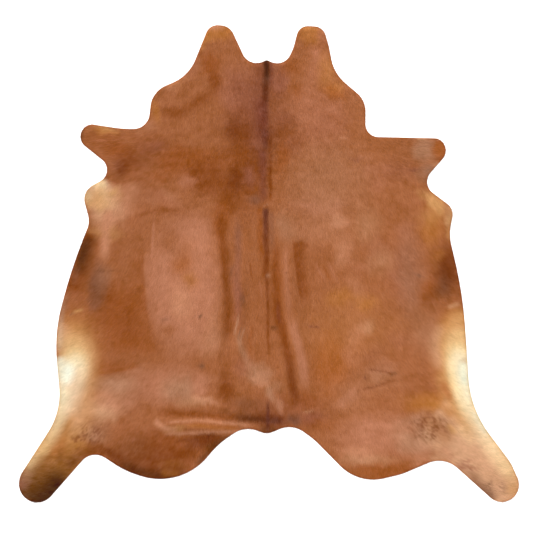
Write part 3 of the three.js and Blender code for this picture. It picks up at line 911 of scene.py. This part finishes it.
# The sheet: points along the cut and on an even grid inside it, joined into one thin closed skin.
SKIN_PITCH = 10.0  # between the sheet's points
GRID_INSET = 0.45 * SKIN_PITCH  # how near the cut the grid may come
SKIN_SWAY = 1.2  # how far the flat parts stand off the floor here and there
SWAY_SIZE = 150
SWAY_SEED = 21
SHARP_FROM = math.radians(50)  # only the cut is sharper than this
DELAUNAY_INSIDE = 1  # keeps the faces inside the rim
DELAUNAY_MERGE = 1e-5


def underside_height(x, y):
    """The height of the skin's underside."""
    return lift(x, y) + SKIN_SWAY * np.clip(mottle(x, y, SWAY_SIZE, SWAY_SEED), 0, 1)


grid_x, grid_y = hexagon_grid(SKIN_PITCH, edge_low, edge_high)
grid_depth = depth_inside(grid_x, grid_y)[0]
kept = grid_depth > GRID_INSET
flat = np.concatenate([edge[:, :2], np.stack([grid_x[kept], grid_y[kept]], 1)])
flat_depth = np.concatenate([np.zeros(len(edge)), grid_depth[kept]])
rim = np.arange(len(edge))[::-1]  # anticlockwise
sheet_points = [Vector(p) for p in flat.tolist()]
cut_out = delaunay_2d_cdt(sheet_points, [], [rim.tolist()], DELAUNAY_INSIDE, DELAUNAY_MERGE)
upper_faces = np.array(cut_out[2])
count = len(flat)

x, y = flat.T
underside = underside_height(x, y)
points = np.empty((2 * count, 3))
points[:count] = np.stack([x + home[0], y + home[1], underside + LEATHER], 1)
points[count:] = np.stack([x + home[0], y + home[1], underside], 1)
beyond = np.roll(rim, -1)
rim_faces = np.concatenate([
    np.stack([rim, beyond + count, beyond], 1),
    np.stack([rim, rim + count, beyond + count], 1),
])
faces = np.concatenate([upper_faces, upper_faces[:, ::-1] + count, rim_faces])


def mesh_from(name, points, faces):
    """A smooth mesh of triangles, from points in millimetres."""
    mesh = bpy.data.meshes.new(name)
    mesh.vertices.add(len(points))
    mesh.vertices.foreach_set("co", (points * MM).astype(np.float32).ravel())
    mesh.loops.add(3 * len(faces))
    mesh.loops.foreach_set("vertex_index", faces.astype(np.int32).ravel())
    mesh.polygons.add(len(faces))
    mesh.polygons.foreach_set("loop_start", np.arange(0, 3 * len(faces), 3, dtype=np.int32))
    mesh.update(calc_edges=True)
    mesh.shade_smooth()
    piece = bpy.data.objects.new(name, mesh)
    bpy.context.collection.objects.link(piece)
    return piece


def paint(piece, colours):
    """Gives every point its own colour, read by the materials as "hair colour"."""
    layer = piece.data.color_attributes.new("hair colour", "FLOAT_COLOR", "POINT")
    rgba = np.ones((len(colours), 4), np.float32)
    rgba[:, :3] = colours
    layer.data.foreach_set("color", rgba.ravel())


def lay_out(piece, corners):
    """Gives every corner its place on the piece's flat layout, from 0 to 1."""
    layout = piece.data.uv_layers.new(name="OFBake")
    layout.data.foreach_set("uv", corners.astype(np.float32).ravel())


skin = mesh_from("skin", points, faces)
skin.data.set_sharp_from_angle(angle=SHARP_FROM)
HAIR_SIDE, CUT_SIDE, SUEDE_SIDE = range(3)
sides = [HAIR_SIDE] * len(upper_faces) + [SUEDE_SIDE] * len(upper_faces) + [CUT_SIDE] * len(rim_faces)
skin.data.polygons.foreach_set("material_index", sides)

# The skin laid out flat: the hair side large, the cut folded out round it, the underside small beside it.
HAIR_SIDE_SPAN = 0.71
HAIR_SIDE_CORNER = 0.005
SUEDE_SIDE_SPAN = 0.26
SUEDE_SIDE_CORNER = (0.73, 0.02)
CUT_FOLD = 6.0

tops = len(upper_faces)
span = np.ptp(flat, axis=0).max()
shares = (flat - flat.min(0)) / span
laid = HAIR_SIDE_CORNER + shares * HAIR_SIDE_SPAN
turned_over = SUEDE_SIDE_CORNER + shares * SUEDE_SIDE_SPAN
folded = laid[: len(edge)] + edge[:, 2:] * CUT_FOLD / span * HAIR_SIDE_SPAN
rim_points = rim_faces % count
layout_corners = np.empty((len(faces), 3, 2))
layout_corners[:tops] = laid[upper_faces]
layout_corners[tops : 2 * tops] = turned_over[upper_faces[:, ::-1]]
layout_corners[2 * tops :] = np.where((rim_faces < count)[..., None], laid[rim_points], folded[rim_points])
lay_out(skin, layout_corners)

# The coat's colours already hold the light that falls on the flat coat and a little gloss. Both are taken
# off again, which leaves the hair's colour with the shade, highlights and sheen painted in the tables still
# in it.
DAYLIGHT = np.array([1.25, 1.18, 1.13])
GLOSS = 0.006
DARKEST = 0.002
PALEST = 0.97
ROOT_SHADE = 0.75


def hair_colour_and_painted_light(x, y, depth):
    """The hair's colour without the studio's even light and gloss, with the tables' painted shade and
    highlights still in it.
    """
    return np.clip((coat_colour(x, y, depth) - GLOSS) / DAYLIGHT, DARKEST, PALEST)


# The skin under the coat takes the coat's colour darkened to three quarters, as painted shade under the
# hair.
paint(skin, np.tile(ROOT_SHADE * hair_colour_and_painted_light(x, y, flat_depth), (2, 1)))

# Three finishes on the one skin: hair roots above, pale cut leather at the rim, brushed suede below.
CUT_LEATHER = (0.42, 0.24, 0.13, 1)
SUEDE = (0.46, 0.36, 0.27, 1)
SUEDE_DARK = (0.36, 0.27, 0.19, 1)


def hair_coloured(material, shader):
    """Colours the shader by the points' hair colour, painted shade and highlights included."""
    hair_colour = material.node_tree.nodes.new("ShaderNodeVertexColor")
    hair_colour.layer_name = "hair colour"
    material.node_tree.links.new(hair_colour.outputs["Color"], shader.inputs["Base Color"])


def grain(material, per_metre, detail, roughness=0.5):
    """Noise fixed to the rug, that fine to the metre."""
    tree = material.node_tree
    place = tree.nodes.new("ShaderNodeTexCoord")
    noise = tree.nodes.new("ShaderNodeTexNoise")
    dial_in(noise, {"Scale": per_metre, "Detail": detail, "Roughness": roughness})
    tree.links.new(place.outputs["Object"], noise.inputs["Vector"])
    return noise.outputs["Fac"]


def raise_grain(material, shader, noise, strength, height):
    """Fine relief on the shader, that many metres high."""
    tree = material.node_tree
    relief = tree.nodes.new("ShaderNodeBump")
    dial_in(relief, {"Strength": strength, "Distance": height})
    tree.links.new(noise, relief.inputs["Height"])
    tree.links.new(relief.outputs["Normal"], shader.inputs["Normal"])


roots, shader = finish("hair roots on skin", roughness=0.65, specular=0.1)
hair_coloured(roots, shader)
raise_grain(roots, shader, grain(roots, per_metre=420, detail=3), strength=0.4, height=0.0008)

cut_leather, shader = finish("cut leather", roughness=0.8, specular=0.2)
dial_in(shader, {"Base Color": CUT_LEATHER})

suede, shader = finish("suede", roughness=0.92, specular=0.12)
tone = suede.node_tree.nodes.new("ShaderNodeValToRGB")
for stop, (position, colour) in zip(tone.color_ramp.elements, ((0.35, SUEDE_DARK), (0.65, SUEDE))):
    stop.position = position
    stop.color = colour
clouds = grain(suede, per_metre=9, detail=8, roughness=0.65)
suede.node_tree.links.new(clouds, tone.inputs["Fac"])
suede.node_tree.links.new(tone.outputs["Color"], shader.inputs["Base Color"])
raise_grain(suede, shader, grain(suede, per_metre=900, detail=4), strength=0.5, height=0.0006)

for material in (roots, cut_leather, suede):
    skin.data.materials.append(material)

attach(skin, "root")
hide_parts("hide")

# ----------------------------------------------------------------------
# The coat: short glossy hair that lies flat towards the tail and fans out over the flanks and legs. It is
# made as small closed locks, rooted a little way into the skin, in four quarters of the hide.

LOCK_PITCH = 3.98
LOCK_SCATTER = 0.42  # of the pitch
LOCK_LENGTH = 20
LENGTH_LUCK = (0.75, 1.25)
LOCK_WIDTH = 2.3
WIDTH_LUCK = (0.85, 1.15)
SHORTEST_LOCK = 4
ROOT_DEPTH = 0.7
ROOT_INSET = 0.8  # how far inside the cut the outermost hair is rooted
RIDGE_AT = 0.35  # of the length
RIDGE_RISE = 1.5
LEAST_RIDGE = 0.6  # over the straight line from root to tip, so that no lock is hollow, even in a fold
TIP_RISE = 2.4
RISE_LUCK = (0.7, 1.3)
FLATTER_BELOW = 1.4  # a lock shorter than the full length divided by this lies flatter
OVERHANG = 0.8  # how far tips may pass the cut
NAP_JITTER = 8  # degrees
ALONG_THE_CUT = 0.05  # hair that runs less than this towards the cut isn't shortened further

luck = np.random.default_rng(7)
x, y = hexagon_grid(LOCK_PITCH, edge_low, edge_high)
x = x + luck.uniform(-1, 1, len(x)) * LOCK_SCATTER * LOCK_PITCH
y = y + luck.uniform(-1, 1, len(y)) * LOCK_SCATTER * LOCK_PITCH
depth, out = depth_inside(x, y)
rooted = depth > ROOT_INSET
x, y, depth, out = x[rooted], y[rooted], depth[rooted], out[rooted]
locks = len(x)

# The height of the skin and its slope, read off an even grid.
RELIEF_STEP = 4.0
RELIEF_MARGIN = 40
SLOPE_REACH = 4

relief_low = edge_low - RELIEF_MARGIN
relief_high = edge_high + RELIEF_MARGIN
relief_x = np.arange(relief_low[0], relief_high[0], RELIEF_STEP)
relief_y = np.arange(relief_low[1], relief_high[1], RELIEF_STEP)
relief_places = (a.ravel() for a in np.meshgrid(relief_x, relief_y))
relief = underside_height(*relief_places).reshape(len(relief_y), len(relief_x))


def skin_height(x, y):
    """The height of the skin's underside, read off the grid."""
    u = (x - relief_low[0]) / RELIEF_STEP
    v = (y - relief_low[1]) / RELIEF_STEP
    i = np.clip(np.floor(u).astype(int), 0, len(relief_x) - 2)
    j = np.clip(np.floor(v).astype(int), 0, len(relief_y) - 2)
    f, g = u - i, v - j
    near = relief[j, i] * (1 - f) + relief[j, i + 1] * f
    far = relief[j + 1, i] * (1 - f) + relief[j + 1, i + 1] * f
    return near * (1 - g) + far * g


# The nap turns outwards from straight towards the tail: ever more away from the spine, and again over the
# fore legs, with a slow swirl of its own. Turns are in radians.
FAN_TURN = 0.75
FAN_REACH = 700
FAN_CURVE = 1.4
FORE_TURN = 0.6
FORE_FROM = (420, 330)
FORE_BLEND = (150, 120)
MOST_TURN = 1.6
SWIRL = ((0.22, 190, 31), (0.1, 60, 32))


def nap(x, y):
    """The way the hair lies."""
    fan = FAN_TURN * (np.abs(x) / FAN_REACH) ** FAN_CURVE
    up = np.clip((y - FORE_FROM[1]) / FORE_BLEND[1], 0, 1)
    aside = np.clip((np.abs(x) - FORE_FROM[0]) / FORE_BLEND[0], 0, 1)
    return np.sign(x) * np.clip(fan + FORE_TURN * up * aside, 0, MOST_TURN) + layered(x, y, SWIRL)


turn = nap(x, y) + np.radians(luck.normal(0, NAP_JITTER, locks))
way = np.stack([np.sin(turn), -np.cos(turn)], 1)
side = np.stack([-way[:, 1], way[:, 0]], 1)
towards_edge = (way * out).sum(1)
reach = (depth + OVERHANG) / np.clip(towards_edge, ALONG_THE_CUT, 1)
length = LOCK_LENGTH * luck.uniform(*LENGTH_LUCK, locks)
length = np.clip(np.minimum(length, reach), SHORTEST_LOCK, None)
width = LOCK_WIDTH * luck.uniform(*WIDTH_LUCK, locks)

root = np.stack([x, y], 1)
ridge = root + way * (RIDGE_AT * length)[:, None]
tip = root + way * length[:, None]
half = side * (width / 2)[:, None]
rise = luck.uniform(*RISE_LUCK, (locks, 2)) * np.minimum(1, length / LOCK_LENGTH * FLATTER_BELOW)[:, None]
root_z = skin_height(x, y) + LEATHER - ROOT_DEPTH
ridge_z = skin_height(*ridge.T) + LEATHER + RIDGE_RISE * rise[:, 0]
tip_z = skin_height(*tip.T) + LEATHER + TIP_RISE * rise[:, 1]
ridge_z = np.maximum(ridge_z, (1 - RIDGE_AT) * root_z + RIDGE_AT * tip_z + LEAST_RIDGE)

# Each lock has four corners, root left, root right, ridge and tip, and four faces.
LOCK_FACES = np.array([(0, 1, 2), (0, 2, 3), (1, 3, 2), (0, 3, 1)])

corners = np.empty((locks, 4, 3))
corners[:, 0] = np.column_stack([root + half, root_z])
corners[:, 1] = np.column_stack([root - half, root_z])
corners[:, 2] = np.column_stack([ridge, ridge_z])
corners[:, 3] = np.column_stack([tip, tip_z])
corners[:, :, :2] += home

# The locks are shaded with the skin they lie on, a little rounded across and towards the tip.
ROUNDING = 0.38
TIP_ROUNDING = 0.15

slope_x = (skin_height(x + SLOPE_REACH, y) - skin_height(x - SLOPE_REACH, y)) / (2 * SLOPE_REACH)
slope_y = (skin_height(x, y + SLOPE_REACH) - skin_height(x, y - SLOPE_REACH)) / (2 * SLOPE_REACH)
upright = np.column_stack([-slope_x, -slope_y, np.ones(locks)])
normals = np.repeat(upright[:, None], 4, 1)
normals[:, 0, :2] += ROUNDING * side
normals[:, 1, :2] -= ROUNDING * side
normals[:, 3, :2] += TIP_ROUNDING * way
normals /= np.linalg.norm(normals, axis=2)[..., None]

# Each lock takes the coat's colour at its ridge and its tip, darker at the root and by its own luck.
FADING = np.array([0.9, 0.9, 1.0, 1.04])  # at the four corners
LUCK_SHADE = 0.04
LUCK_GLINT = 0.004

shade = luck.normal(0, 1, (locks, 1, 1))
on_ridge = hair_colour_and_painted_light(*ridge.T, depth - RIDGE_AT * length * towards_edge)
on_tip = hair_colour_and_painted_light(*tip.T, depth - length * towards_edge)
colours = np.stack([on_ridge, on_ridge, on_ridge, on_tip], 1)
colours = colours * (1 + LUCK_SHADE * shade) * FADING[:, None] + LUCK_GLINT * shade
colours = np.clip(colours, DARKEST, 1)

coat_hair, shader = finish("glossy cow hair", roughness=0.5, specular=0.05)
hair_coloured(coat_hair, shader)

left_half = x < np.median(x)
quarters = []
for name, of_side in (("left", left_half), ("right", ~left_half)):
    halfway = np.median(y[of_side])
    quarters.append((f"coat_fore_{name}", of_side & (y >= halfway)))
    quarters.append((f"coat_hind_{name}", of_side & (y < halfway)))

LAYOUT_MARGIN = 0.01

for name, chosen in quarters:
    points = corners[chosen].reshape(-1, 3)
    firsts = 4 * np.arange(chosen.sum())
    faces = (LOCK_FACES[None] + firsts[:, None, None]).reshape(-1, 3)
    coat = mesh_from(name, points, faces)
    coat.data.normals_split_custom_set_from_vertices(normals[chosen].reshape(-1, 3))
    paint(coat, colours[chosen].reshape(-1, 3))
    plan = points[:, :2]
    shares = (plan[faces] - plan.min(0)) / np.ptp(plan, axis=0).max()
    lay_out(coat, LAYOUT_MARGIN + (1 - 2 * LAYOUT_MARGIN) * shares)
    coat.data.materials.append(coat_hair)
    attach(coat, "root")
